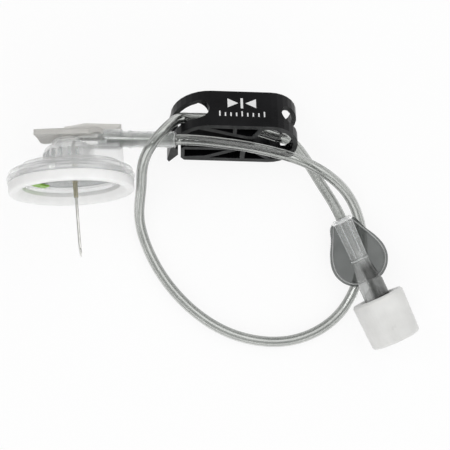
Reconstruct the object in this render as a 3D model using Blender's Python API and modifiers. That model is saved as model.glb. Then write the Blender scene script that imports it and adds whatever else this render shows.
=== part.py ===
"""A safety needle set for an implanted port, as it lies on a table after unpacking.

A round clear base with a foam ring slides on a bent non-coring needle, to cover its tip.
The needle's hub carries soft grip wings, a sleeve and an extension tube with a pinch clamp
and a capped luer connector. The set rests with the base on its rim, one wing, the clamp and
the cap on the table. Units are metres, +Z is up, and the table is the plane Z = 0.

Head frame: origin where the needle's axis meets the foam's lower face, +Z from the skin to
the hub, +X towards the tube, and -Y towards the wing that stands free of the table.
"""

import math

import bmesh
import bpy
from mathutils import Matrix, Vector

MM = 0.001

# Fits
SEAT_GAP = 0.3 * MM
NEEDLE_FIT = 0.06 * MM
TUBE_FIT = 0.08 * MM

# Base with foam ring, in the head frame
RIM_RADIUS = 16.0 * MM
RIM_RISE = 1.25 * MM
DOME_SLOPE_WIDTH = 5.2 * MM
DECK_HEIGHT = 7.0 * MM
SHELL_WALL = 1.1 * MM
RIM_WALL = 1.76 * MM
LEDGE_THICKNESS = 1.2 * MM
FOAM_INSET = 0.3 * MM
FOAM_WIDTH = 3.4 * MM
FOAM_THICKNESS = 2.45 * MM
FOAM_DISH = 1.5 * MM
FOAM_FACE_WIDTH = 1.3 * MM
TOWER_RADIUS = 6.4 * MM
TOWER_TOP = 12.4 * MM
TOWER_SHOULDER = 1.5 * MM
TOWER_LIP = 1.3 * MM
TOWER_FILLET = 2.2 * MM
CRADLE_WIDTH = 5.8 * MM
CRADLE_TOP = 11.2 * MM

# Guard inside the base
GUARD_PLAY = 1.34 * MM
GUARD_THICKNESS = 0.6 * MM
GUARD_HOLE = 2.5 * MM
GUARD_BOSS_RADIUS = 3.3 * MM
GUARD_BOSS_HEIGHT = 1.3 * MM
CLIP_THICKNESS = 0.25 * MM
CLIP_WIDTH = 3.0 * MM
CLIP_TO_BOSS = 1.4 * MM
CLIP_INSET = 5.0 * MM
CLIP_RISE = 3.2 * MM
LOCK_INSET = 1.4 * MM
LOCK_WIDTH = 2.2 * MM
LOCK_THICKNESS = 0.45 * MM
LOCK_MIDDLE = math.radians(165)
LOCK_HALF_ANGLE = math.radians(25)

# Hub, needle and sleeve, in the head frame
PLUG_RADIUS = 3.0 * MM
PLUG_LENGTH = 2.8 * MM
NOSE_RADIUS = 1.2 * MM
NOSE_END = 3.2 * MM
FLANGE_RADIUS = 4.4 * MM
FLANGE_THICKNESS = 0.8 * MM
DOME_RADIUS = 3.3 * MM
DOME_TOP = 16.6 * MM
OUTLET_HEIGHT = 14.0 * MM
OUTLET_DROOP = math.radians(5.9)
OUTLET_RADIUS = 2.5 * MM
OUTLET_LENGTH = 13.4 * MM
SLEEVE_START = 8.0 * MM
SLEEVE_END = 27.1 * MM
SLEEVE_RADIUS = 2.05 * MM
SLEEVE_BEAD = 0.15 * MM
SLEEVE_BEAD_PLACE = 15.6 * MM
NEEDLE_DIAMETER = 0.72 * MM
NEEDLE_BORE = 0.42 * MM
NEEDLE_TIP = -16.5 * MM
NEEDLE_BEND = 2.2 * MM
NEEDLE_INNER_END = 9.2 * MM
NEEDLE_OFFSET = 0.6 * MM
NEEDLE_LEAN = math.radians(2.05)
TIP_DEFLECTION = 0.25 * MM
TIP_LENGTH = 4.6 * MM
BEVEL_ANGLE = math.radians(9)
BEVEL_FACING = math.radians(-50)
FERRULE_RADIUS = 0.58 * MM
FERRULE_LENGTH = 4.2 * MM

# Grip wings, in the head frame
WING_THICKNESS = 1.1 * MM
WING_TWIST = math.radians(-6)
WING_NEAR_REACH = 11.1 * MM
WING_FAR_REACH = 12.1 * MM
WING_NEAR_RISE = -0.7 * MM
WING_FAR_RISE = 4.7 * MM
WING_NEAR_ROOT = 5.0 * MM
WING_FAR_ROOT = 2.0 * MM
WING_NEAR_BACK = 5.7 * MM
WING_NEAR_FRONT = 9.0 * MM
WING_MIDDLE_BACK = 7.8 * MM
WING_FAR_BACK = 5.0 * MM
WING_FAR_FRONT = 10.3 * MM
WING_CORNER = 1.2 * MM
GRIP_RIDGES = 4
GRIP_HEIGHT = 0.35 * MM
GRIP_SPACING = 1.1 * MM

# Extension tube
TUBE_DIAMETER = 2.7 * MM
TUBE_START = 10.0 * MM
TUBE_POINTS = 80

# Pinch clamp, in its own frame: +X along the tube, +Y to the printed face, +Z to the open side
CLAMP_WIDTH = 11.6 * MM
CLAMP_LENGTH = 32.0 * MM
CLAMP_HEIGHT = 13.6 * MM
CLAMP_WALL = 1.2 * MM
CLAMP_WEB = 3.4 * MM
CLAMP_SLOT = 5.4 * MM
CLAMP_NOTCH = 6.0 * MM
CLAMP_JAW_GAP = 3.4 * MM
CLAMP_EDGE = 0.25 * MM

# Luer connector, in its own frame: +Z from the tube socket to the cap, +Y up from the table
SOCKET_RADIUS = 2.5 * MM
SOCKET_DEPTH = 9.0 * MM
WAIST_RADIUS = 2.2 * MM
WAIST_PLACE = 11.2 * MM
CONE_END = 17.4 * MM
BARREL_RADIUS = 3.4 * MM
BARREL_END = 29.4 * MM
LUER_MOUTH_RADIUS = 2.15 * MM
LUER_DEPTH = 9.0 * MM
LUER_TAPER = 0.03
FLUID_RADIUS = 0.8 * MM
LUG_RADIUS = 3.9 * MM
LUG_LENGTH = 1.4 * MM
PADDLE_WIDTH = 14.8 * MM
PADDLE_LENGTH = 17.9 * MM
PADDLE_THICKNESS = 1.7 * MM
PADDLE_RIM = 0.9 * MM
PADDLE_RECESS = 0.5 * MM
PADDLE_DROP = 3.7 * MM
CAP_START = 21.8 * MM
CAP_LENGTH = 12.2 * MM
CAP_RADIUS = 6.85 * MM
CAP_DRAFT = 0.35 * MM
CAP_WALL = 2.2 * MM
CAP_EDGE = 0.9 * MM
SPIGOT_RADIUS = 1.85 * MM
SPIGOT_LENGTH = 7.4 * MM

# How the set lies on the table
HEAD_TILT = math.radians(11)
HEAD_TURN = math.radians(3.3)
HEAD_ROLL = math.radians(-8)
HEAD_X = -5.04 * MM
HEAD_Y = -1.0 * MM
CLAMP_PLACE = (40.6 * MM, 17.05 * MM)
CLAMP_LEAN = math.radians(52)
CLAMP_HEADING = math.radians(-1.5)
CLAMP_SLOPE = math.radians(4)
CONNECTOR_PLACE = (68.1 * MM, -6.55 * MM)
CONNECTOR_HEADING = math.radians(-65.4)

# The tube's route in millimetres. Places on the way to and from the clamp are beside the head's
# origin, with heights above the table; those inside the clamp are in the clamp's frame
ROUTE_TO_CLAMP = [
    (36.8, 12.5, 18.5), (43.0, 11.8, 17.2), (50.5, 10.4, 14.5),
    (57.7, 8.5, 11.3), (64.0, 5.4, 8.2), (69.2, 1.2, 4.8), (72.3, -3.8, 1.7),
    (73.9, -9.8, 1.4), (74.1, -16.0, 1.4), (72.6, -23.8, 1.4), (68.6, -31.0, 1.4),
    (62.2, -36.0, 1.4), (54.4, -38.5, 1.4), (46.6, -38.2, 1.4), (39.2, -36.2, 1.4),
    (32.2, -32.2, 1.4), (26.0, -26.6, 1.4), (21.0, -20.0, 1.4), (17.6, -13.0, 1.4),
    (16.0, -7.0, 2.2), (16.4, -2.2, 6.4), (17.4, 2.2, 13.0), (17.6, 7.2, 19.8),
    (20.3, 12.2, 23.4), (24.2, 16.4, 20.8),
]
ROUTE_IN_CLAMP = [
    (-14.2, 3.2, 0.0), (-10.2, 2.2, -0.1), (-6.3, 2.3, -0.6), (-2.4, 1.6, -0.2), (3.3, 0.25, 0.5),
    (7.2, -0.8, 0.8), (10.6, -2.5, 0.7), (14.0, -3.7, 0.5),
]
ROUTE_TO_CONNECTOR = [
    (56.8, 12.2, 5.9), (60.2, 7.2, 4.4), (63.0, 2.4, 5.4),
]


def clear_scene():
    for obj in list(bpy.data.objects):
        bpy.data.objects.remove(obj, do_unlink=True)


def new_collection(name):
    collection = bpy.data.collections.new(name)
    bpy.context.scene.collection.children.link(collection)
    return collection


clear_scene()
PARTS = new_collection("needle_set")
TOOLS = new_collection("cutters")


def plastic(name, colour, roughness, clear=0.0, metallic=0.0):
    """A Principled material; clear is how much light the plastic lets through."""
    material = bpy.data.materials.new(name)
    material.use_nodes = True
    shader = material.node_tree.nodes["Principled BSDF"]
    shader.inputs["Base Color"].default_value = (*colour, 1.0)
    shader.inputs["Roughness"].default_value = roughness
    shader.inputs["Metallic"].default_value = metallic
    shader.inputs["Transmission Weight"].default_value = clear
    shader.inputs["IOR"].default_value = 1.49
    material.diffuse_color = (*colour, 1.0)
    return material


def link(obj, collection):
    for owner in list(obj.users_collection):
        owner.objects.unlink(obj)
    collection.objects.link(obj)
    if collection is TOOLS:
        obj.hide_render = True
        obj.display_type = "WIRE"
    return obj


def finish(obj, material, parent=None):
    """Gives a piece its material, its parent and smooth round faces."""
    link(obj, PARTS)
    obj.data.materials.clear()
    obj.data.materials.append(material)
    if parent is not None:
        obj.parent = parent
    if obj.type == "MESH":
        obj.data.shade_smooth()
        obj.data.set_sharp_from_angle(angle=math.radians(35))
    return obj


def frame(name, matrix, parent=None):
    """An empty that places what is parented to it."""
    empty = bpy.data.objects.new(name, None)
    PARTS.objects.link(empty)
    empty.parent = parent
    empty.matrix_local = matrix
    return empty


def turned(name, profile, segments=48, closed=False, collection=None):
    """A profile of (radius, height) points turned about Z, listed down its outer side."""
    mesh = bpy.data.meshes.new(name)
    points = [(radius, 0.0, height) for radius, height in profile]
    edges = [(i, i + 1) for i in range(len(points) - 1)]
    if closed:
        edges.append((len(points) - 1, 0))
    mesh.from_pydata(points, edges, [])
    obj = bpy.data.objects.new(name, mesh)
    link(obj, collection or PARTS)
    screw = obj.modifiers.new("Turn", "SCREW")
    screw.axis = "Z"
    screw.steps = segments
    screw.render_steps = segments
    screw.use_merge_vertices = True
    screw.merge_threshold = 1e-6
    return obj


def cylinder(name, radius, start, end, segments=40, collection=None):
    """A cylinder about Z between two heights."""
    bpy.ops.mesh.primitive_cylinder_add(vertices=segments, radius=radius, depth=end - start)
    obj = bpy.context.object
    obj.name = name
    obj.data.transform(Matrix.Translation((0, 0, (start + end) / 2)))
    return link(obj, collection or TOOLS)


def box(name, low, high, collection=None):
    """A box between two corners."""
    bpy.ops.mesh.primitive_cube_add(size=1)
    obj = bpy.context.object
    obj.name = name
    low, high = Vector(low), Vector(high)
    size = Matrix.Diagonal((*(high - low), 1))
    obj.data.transform(Matrix.Translation((low + high) / 2) @ size)
    return link(obj, collection or TOOLS)


def outline_solid(name, outlines, thickness, smooth=False, collection=None):
    """One or more flat outlines in XY, filled and extruded about Z = 0, as a mesh."""
    curve = bpy.data.curves.new(name, "CURVE")
    curve.dimensions = "2D"
    curve.fill_mode = "BOTH"
    curve.extrude = thickness / 2
    curve.resolution_u = 5
    for outline in outlines:
        if smooth:
            spline = curve.splines.new("BEZIER")
            spline.bezier_points.add(len(outline) - 1)
            for point, (x, y) in zip(spline.bezier_points, outline):
                point.co = (x, y, 0)
                point.handle_left_type = point.handle_right_type = "AUTO"
        else:
            spline = curve.splines.new("POLY")
            spline.points.add(len(outline) - 1)
            for point, (x, y) in zip(spline.points, outline):
                point.co = (x, y, 0, 1)
        spline.use_cyclic_u = True
    obj = bpy.data.objects.new(name, curve)
    bpy.context.scene.collection.objects.link(obj)
    return meshed(obj, collection or TOOLS)


def rod(name, points, radius, collection=None, resolution=2, as_mesh=True):
    """A round rod along a list of points, with closed ends."""
    curve = bpy.data.curves.new(name, "CURVE")
    curve.dimensions = "3D"
    curve.bevel_depth = radius
    curve.bevel_resolution = resolution
    curve.use_fill_caps = True
    spline = curve.splines.new("POLY")
    spline.points.add(len(points) - 1)
    for point, place in zip(spline.points, points):
        point.co = (*place, 1)
    obj = bpy.data.objects.new(name, curve)
    bpy.context.scene.collection.objects.link(obj)
    if as_mesh:
        return meshed(obj, collection or TOOLS)
    return link(obj, collection or PARTS)


def meshed(obj, collection):
    """Replaces a curve object with a mesh whose caps are welded to its sides."""
    bpy.context.view_layer.update()
    evaluated = obj.evaluated_get(bpy.context.evaluated_depsgraph_get())
    mesh = bpy.data.meshes.new_from_object(evaluated)
    shape = bmesh.new()
    shape.from_mesh(mesh)
    bmesh.ops.remove_doubles(shape, verts=shape.verts, dist=1e-7)
    bmesh.ops.recalc_face_normals(shape, faces=shape.faces)
    shape.to_mesh(mesh)
    shape.free()
    name = obj.name
    solid = bpy.data.objects.new(name, mesh)
    solid.matrix_world = obj.matrix_world
    bpy.data.objects.remove(obj, do_unlink=True)
    solid.name = name
    return link(solid, collection)


def combine(target, tool, operation):
    """Adds a Boolean modifier, with the tool parented to the piece that it shapes."""
    modifier = target.modifiers.new(f"{operation} {tool.name}", "BOOLEAN")
    modifier.operation = operation
    modifier.solver = "EXACT"
    modifier.object = tool
    if tool.parent is None:
        tool.parent = target
    return target


def blend_between(start, handle, end, steps):
    """Points of a quadratic curve from start to end, both included."""
    points = []
    for step in range(steps + 1):
        t = step / steps
        points.append(tuple(
            (1 - t) ** 2 * a + 2 * t * (1 - t) * b + t ** 2 * c
            for a, b, c in zip(start, handle, end)))
    return points


def arc(centre, radius_x, radius_y, first, last, steps):
    """Points of an elliptical arc between two angles in degrees, both included."""
    points = []
    for step in range(steps + 1):
        angle = math.radians(first + (last - first) * step / steps)
        points.append((centre[0] + radius_x * math.cos(angle),
                       centre[1] + radius_y * math.sin(angle)))
    return points


def smooth_path(points, count):
    """A smooth curve that follows hand-chosen points, read at evenly spaced places."""
    ends = [2 * points[0] - points[1], *points, 2 * points[-1] - points[-2]]
    fine = []
    for before, start, end, after in zip(ends, ends[1:], ends[2:], ends[3:]):
        for step in range(12):
            t = step / 12
            fine.append(((1 - t) ** 3 * before + (3 * t ** 3 - 6 * t ** 2 + 4) * start
                         + (3 * t ** 2 - 3 * t ** 3 + 3 * t + 1) * end + t ** 3 * after) / 6)
    fine.append(points[-1])
    lengths = [0.0]
    for start, end in zip(fine, fine[1:]):
        lengths.append(lengths[-1] + (end - start).length)
    read = []
    place = 0
    for index in range(count):
        wanted = lengths[-1] * index / (count - 1)
        while place < len(fine) - 2 and lengths[place + 1] < wanted:
            place += 1
        share = (wanted - lengths[place]) / (lengths[place + 1] - lengths[place])
        read.append(fine[place].lerp(fine[place + 1], share))
    return read


def head_matrix():
    """The head as it lies: the base's rim and the lower wing's corner touch the table."""
    turn = (Matrix.Rotation(HEAD_TURN, 4, "Z")
            @ Matrix.Rotation(-math.pi / 2 - HEAD_TILT, 4, "X")
            @ Matrix.Rotation(HEAD_ROLL, 4, "Z"))
    rim_height = FOAM_THICKNESS + SEAT_GAP + RIM_RISE
    rim_drop = RIM_RADIUS * math.cos(HEAD_TILT) + rim_height * math.sin(HEAD_TILT)
    wing_top = wing_base_height() + WING_FAR_RISE + WING_THICKNESS
    inset = 0.3 * WING_CORNER
    corner = (Matrix.Rotation(WING_TWIST, 4, "Z")
              @ Vector((inset - WING_FAR_BACK, WING_FAR_REACH - inset, wing_top)))
    wing_drop = -(turn @ corner).z
    return Matrix.Translation((HEAD_X, HEAD_Y, max(rim_drop, wing_drop))) @ turn


def outlet_matrix():
    """Frame of the tube outlet: +Z runs out along the sleeve, +X up."""
    return (Matrix.Translation((0, 0, OUTLET_HEIGHT))
            @ Matrix.Rotation(math.pi / 2 + OUTLET_DROOP, 4, "Y"))


def flange_bottom():
    return TOWER_TOP + SEAT_GAP


def wing_base_height():
    return flange_bottom() + FLANGE_THICKNESS + SEAT_GAP


def foam_radius():
    return RIM_RADIUS - FOAM_INSET


def foam_opening():
    return foam_radius() - FOAM_WIDTH


def deck_radius():
    return RIM_RADIUS - DOME_SLOPE_WIDTH


def guard_radius():
    return RIM_RADIUS - RIM_WALL - GUARD_PLAY


def needle_place(height):
    """A point on the needle's straight part, which leans slightly in its hub."""
    lean = math.tan(NEEDLE_LEAN)
    return Vector((NEEDLE_OFFSET + (OUTLET_HEIGHT - height) * lean, 0, height))


CLEAR = plastic("clear_plastic", (0.86, 0.88, 0.88), 0.08, clear=0.9)
GUARD = plastic("guard_plastic", (0.80, 0.83, 0.82), 0.15, clear=0.8)
FOAM = plastic("white_foam", (0.90, 0.90, 0.89), 0.9)
LIME = plastic("lime_plastic", (0.30, 0.62, 0.05), 0.35)
STEEL = plastic("needle_steel", (0.62, 0.62, 0.60), 0.22, metallic=1.0)
GLUE = plastic("amber_adhesive", (0.46, 0.43, 0.30), 0.25, clear=0.3)
HUB = plastic("hub_plastic", (0.66, 0.70, 0.68), 0.12, clear=0.8)
WING = plastic("soft_wing", (0.55, 0.54, 0.50), 0.45, clear=0.3)
SOFT_CLEAR = plastic("tubing", (0.72, 0.74, 0.73), 0.12, clear=0.85)
BLACK = plastic("black_clamp", (0.012, 0.012, 0.013), 0.3)
SMOKE = plastic("smoke_connector", (0.28, 0.31, 0.29), 0.12, clear=0.6)
WHITE = plastic("white_cap", (0.82, 0.82, 0.80), 0.38)


def make_foam_ring(parent):
    outer = foam_radius()
    opening = foam_opening()
    face_inner = outer - 0.5 * MM - FOAM_FACE_WIDTH
    profile = [
        (outer - 0.1 * MM, FOAM_THICKNESS),
        (outer, FOAM_THICKNESS / 2),
        (outer - 0.15 * MM, 0.35 * MM),
        (outer - 0.5 * MM, 0.0),
        (face_inner, 0.0),
        (opening + 0.3 * MM, FOAM_DISH - 0.2 * MM),
        (opening, FOAM_DISH + 0.1 * MM),
        (opening, FOAM_THICKNESS),
    ]
    finish(turned("foam_ring", profile, segments=64, closed=True), FOAM, parent)


def make_base_shell(parent, outlet):
    """Domed clear shell with a tower for the hub and a cradle under the tube outlet."""
    bottom = FOAM_THICKNESS + SEAT_GAP
    rim = bottom + RIM_RISE
    deck = deck_radius()
    deck_edge = (deck, DECK_HEIGHT - 0.1 * MM)
    dome = blend_between((RIM_RADIUS, rim), (RIM_RADIUS - 1.0 * MM, rim + 2.6 * MM), deck_edge, 6)
    shoulder_start = TOWER_TOP - TOWER_SHOULDER
    lip_radius = PLUG_RADIUS + SEAT_GAP + TOWER_LIP
    shoulder = blend_between((TOWER_RADIUS, shoulder_start),
                             (TOWER_RADIUS - 0.1 * MM, shoulder_start + 0.8 * MM),
                             (lip_radius, TOWER_TOP - 0.2 * MM), 4)
    spread = min(TOWER_FILLET, 0.8 * (deck - TOWER_RADIUS))
    fillet = blend_between((TOWER_RADIUS + spread, DECK_HEIGHT),
                           (TOWER_RADIUS, DECK_HEIGHT),
                           (TOWER_RADIUS, DECK_HEIGHT + 1.0 * MM), 3)
    outer = [(0.0, TOWER_TOP), (lip_radius - 0.2 * MM, TOWER_TOP)]
    outer += shoulder[::-1] + fillet[::-1] + dome[::-1]
    outer += [(RIM_RADIUS - 0.1 * MM, bottom), (0.0, bottom)]
    shell = turned("base_shell", outer, segments=64)

    cradle_end = OUTLET_LENGTH * math.cos(OUTLET_DROOP) - 0.3 * MM
    cradle = box("cradle_block", (TOWER_RADIUS - 0.5 * MM, -CRADLE_WIDTH / 2, rim + 1.2 * MM),
                 (cradle_end, CRADLE_WIDTH / 2, CRADLE_TOP))
    combine(shell, cradle, "UNION")

    ceiling = DECK_HEIGHT - SHELL_WALL
    wall_radius = RIM_RADIUS - RIM_WALL
    opening = foam_opening()
    inner_tower = TOWER_RADIUS - SHELL_WALL
    ledge = bottom + LEDGE_THICKNESS
    tower_ceiling = TOWER_TOP - TOWER_LIP - 0.4 * MM
    cavity = [(0.0, tower_ceiling), (lip_radius - 0.9 * MM, tower_ceiling)]
    cavity += [(inner_tower, shoulder_start - 0.6 * MM), (inner_tower, ceiling + 0.8 * MM)]
    cavity += [(inner_tower + 0.8 * MM, ceiling), (deck - 0.3 * MM, ceiling)]
    cavity += blend_between((deck - 0.3 * MM, ceiling),
                            (wall_radius - 0.3 * MM, ceiling - 0.1 * MM),
                            (wall_radius, ledge + 0.2 * MM), 4)[1:]
    cavity += [(wall_radius, ledge), (opening, ledge), (opening, bottom - 1 * MM)]
    cavity += [(0.0, bottom - 1 * MM)]
    combine(shell, turned("shell_cavity", cavity, segments=64, collection=TOOLS), "DIFFERENCE")

    bore = cylinder("plug_bore", PLUG_RADIUS + SEAT_GAP, DECK_HEIGHT, TOWER_TOP + 2 * MM)
    combine(shell, bore, "DIFFERENCE")
    saddle = cylinder("saddle_cut", OUTLET_RADIUS + SEAT_GAP, 2 * MM, OUTLET_LENGTH + 2 * MM)
    saddle.matrix_local = outlet
    combine(shell, saddle, "DIFFERENCE")
    finish(shell, CLEAR, parent)


def guard_floor():
    return FOAM_THICKNESS + 2 * SEAT_GAP + LEDGE_THICKNESS


def make_guard_plate(parent):
    floor = guard_floor()
    edge = guard_radius()
    top = floor + GUARD_THICKNESS
    boss_top = top + GUARD_BOSS_HEIGHT
    profile = [
        (GUARD_BOSS_RADIUS, boss_top),
        (GUARD_BOSS_RADIUS + 0.1 * MM, top),
        (edge - 0.2 * MM, top),
        (edge, top - 0.2 * MM),
        (edge, floor),
        (GUARD_HOLE + 0.2 * MM, floor),
        (GUARD_HOLE, floor + 0.2 * MM),
        (GUARD_HOLE, boss_top),
    ]
    finish(turned("guard_plate", profile, segments=48, closed=True), GUARD, parent)


def band(path, thickness):
    """The outline of a strip of even thickness along an open path."""
    left, right = [], []
    for index, (x, y) in enumerate(path):
        before = Vector(path[max(index - 1, 0)])
        after = Vector(path[min(index + 1, len(path) - 1)])
        along = (after - before).normalized()
        side = Vector((-along.y, along.x)) * thickness / 2
        left.append((x + side.x, y + side.y))
        right.append((x - side.x, y - side.y))
    return left + right[::-1]


def make_guard_clip(parent):
    """Folded leaf spring beside the needle, which closes over its tip when the base is down."""
    floor = guard_floor() + GUARD_THICKNESS + SEAT_GAP + CLIP_THICKNESS / 2
    foot_end = CLIP_INSET - guard_radius()
    knee = -GUARD_BOSS_RADIUS - CLIP_TO_BOSS
    top = floor + CLIP_RISE
    path = [(foot_end, floor), (knee - 0.3 * MM, floor), (knee, floor + 0.25 * MM)]
    path += [(knee + 0.2 * MM, top - 0.6 * MM)]
    path += arc((knee + 0.75 * MM, top - 0.6 * MM), 0.55 * MM, 0.6 * MM, 150, 20, 4)
    path += [(knee + 1.5 * MM, top - 1.6 * MM)]
    clip = outline_solid("guard_clip", [band(path, CLIP_THICKNESS)], CLIP_WIDTH, collection=PARTS)
    clip.matrix_local = Matrix.Rotation(math.pi / 2, 4, "X")
    finish(clip, STEEL, parent)


def make_lock_tab(parent):
    """Green arc under the guard plate, seen through the foam's opening on the side off the tube."""
    start = math.degrees(LOCK_MIDDLE - LOCK_HALF_ANGLE)
    end = math.degrees(LOCK_MIDDLE + LOCK_HALF_ANGLE)
    outer = guard_radius() - LOCK_INSET
    inner = outer - LOCK_WIDTH
    outline = arc((0, 0), outer, outer, start, end, 14)
    outline += arc((0, 0), inner, inner, end, start, 14)
    tab = outline_solid("lock_tab", [outline], LOCK_THICKNESS, collection=PARTS)
    height = guard_floor() - SEAT_GAP - LOCK_THICKNESS / 2
    tab.matrix_local = Matrix.Translation((0, 0, height))
    finish(tab, LIME, parent)


def needle_path():
    """The needle's centreline from its tip, round the bend and along the outlet's axis."""
    points = []
    for step in range(5):
        share = step / 4
        point = needle_place(NEEDLE_TIP + TIP_LENGTH * share)
        point.x += TIP_DEFLECTION * (1 - share) ** 2
        points.append(point)
    axis = Vector((math.cos(OUTLET_DROOP), 0, -math.sin(OUTLET_DROOP)))
    along = NEEDLE_OFFSET / math.cos(OUTLET_DROOP)
    corner = Vector((0, 0, OUTLET_HEIGHT)) + axis * along
    down = (needle_place(0) - needle_place(1 * MM)).normalized()
    turn = math.pi - axis.angle(down)
    reach = NEEDLE_BEND * math.tan(turn / 2)
    start = corner + down * reach
    end = corner + axis * reach
    points += blend_between(start, corner, end, 6)
    points.append(Vector((0, 0, OUTLET_HEIGHT)) + axis * NEEDLE_INNER_END)
    return [Vector(point) for point in points]


def make_needle(parent):
    """Bent cannula with a bore, and a pointed tip whose opening faces sideways."""
    path = needle_path()
    needle = rod("needle_cannula", path, NEEDLE_DIAMETER / 2, collection=PARTS)
    start = path[0] - (path[1] - path[0]).normalized() * 1 * MM
    end = path[-1] + (path[-1] - path[-2]).normalized() * 1 * MM
    bore = rod("needle_bore", [start, *path, end], NEEDLE_BORE / 2)
    combine(needle, bore, "DIFFERENCE")
    wedge = box("bevel_cut", (0, -1 * MM, -7 * MM), (2 * MM, 1 * MM, 7 * MM))
    facing = Matrix.Rotation(BEVEL_FACING, 4, "Z")
    tip = path[0] - facing @ Vector((NEEDLE_DIAMETER / 2, 0, 0))
    wedge.matrix_local = Matrix.Translation(tip) @ facing @ Matrix.Rotation(BEVEL_ANGLE, 4, "Y")
    combine(needle, wedge, "DIFFERENCE")
    finish(needle, STEEL, parent)


def needle_axis_matrix():
    """Frame whose Z axis is the needle's straight part, with its origin on the skin plane."""
    return Matrix.Translation(needle_place(0)) @ Matrix.Rotation(-NEEDLE_LEAN, 4, "Y")


def make_ferrule(parent):
    """Bead of adhesive round the needle where it leaves the hub's nose."""
    top = NOSE_END - SEAT_GAP
    bore = NEEDLE_DIAMETER / 2 + NEEDLE_FIT
    profile = [
        (FERRULE_RADIUS + 0.2 * MM, top),
        (FERRULE_RADIUS, top - 0.5 * MM),
        (FERRULE_RADIUS, top - FERRULE_LENGTH + 0.4 * MM),
        (bore + 0.08 * MM, top - FERRULE_LENGTH),
        (bore, top - FERRULE_LENGTH),
        (bore, top),
    ]
    ferrule = turned("needle_ferrule", profile, segments=20, closed=True)
    ferrule.matrix_local = needle_axis_matrix()
    finish(ferrule, GLUE, parent)


def make_hub(parent, outlet):
    """Needle hub: a dome and flange over a plug and nose, with the tube outlet to one side."""
    bottom = flange_bottom()
    top = bottom + FLANGE_THICKNESS
    plug_end = TOWER_TOP - PLUG_LENGTH
    profile = [(0.0, DOME_TOP)]
    profile += arc((0, top), DOME_RADIUS, DOME_TOP - top, 80, 20, 5)
    profile += [(DOME_RADIUS, top), (FLANGE_RADIUS - 0.2 * MM, top)]
    profile += [(FLANGE_RADIUS, top - 0.2 * MM), (FLANGE_RADIUS, bottom)]
    profile += [(PLUG_RADIUS, bottom), (PLUG_RADIUS, plug_end)]
    profile += [(PLUG_RADIUS - 0.5 * MM, plug_end - 0.4 * MM), (0.0, plug_end - 0.4 * MM)]
    hub = turned("needle_hub", profile, segments=40)
    nose_profile = [
        (0.0, plug_end + 0.5 * MM),
        (NOSE_RADIUS + 0.6 * MM, plug_end + 0.5 * MM),
        (NOSE_RADIUS + 0.6 * MM, plug_end - 0.9 * MM),
        (NOSE_RADIUS, plug_end - 3.0 * MM),
        (NOSE_RADIUS - 0.1 * MM, NOSE_END + 0.3 * MM),
        (NOSE_RADIUS - 0.4 * MM, NOSE_END),
        (0.0, NOSE_END),
    ]
    nose = turned("hub_nose", nose_profile, segments=28, collection=TOOLS)
    nose.matrix_local = needle_axis_matrix()
    combine(hub, nose, "UNION")
    arm = cylinder("outlet_arm", OUTLET_RADIUS, 0.5 * MM, OUTLET_LENGTH, segments=32)
    arm.matrix_local = outlet
    combine(hub, arm, "UNION")
    socket = cylinder("sleeve_socket", SLEEVE_RADIUS + TUBE_FIT, SLEEVE_START - SEAT_GAP,
                      OUTLET_LENGTH + 2 * MM, segments=32)
    socket.matrix_local = outlet
    combine(hub, socket, "DIFFERENCE")
    way = [needle_place(NOSE_END - 2 * MM), *needle_path()[5:]]
    bore = rod("needle_way", way, NEEDLE_DIAMETER / 2 + NEEDLE_FIT)
    combine(hub, bore, "DIFFERENCE")
    finish(hub, HUB, parent)


def make_sleeve(parent, outlet):
    """Short wide sleeve that joins the tube to the outlet."""
    inner = TUBE_DIAMETER / 2 + TUBE_FIT
    bead = SLEEVE_BEAD_PLACE
    profile = [
        (SLEEVE_RADIUS - 0.25 * MM, SLEEVE_END),
        (SLEEVE_RADIUS, SLEEVE_END - 0.25 * MM),
        (SLEEVE_RADIUS, bead + 0.5 * MM),
        (SLEEVE_RADIUS + SLEEVE_BEAD, bead + 0.25 * MM),
        (SLEEVE_RADIUS + SLEEVE_BEAD, bead - 0.25 * MM),
        (SLEEVE_RADIUS, bead - 0.5 * MM),
        (SLEEVE_RADIUS, SLEEVE_START),
        (inner, SLEEVE_START),
        (inner, SLEEVE_END),
    ]
    sleeve = turned("tube_sleeve", profile, segments=32, closed=True)
    sleeve.matrix_local = outlet
    finish(sleeve, SOFT_CLEAR, parent)


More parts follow.
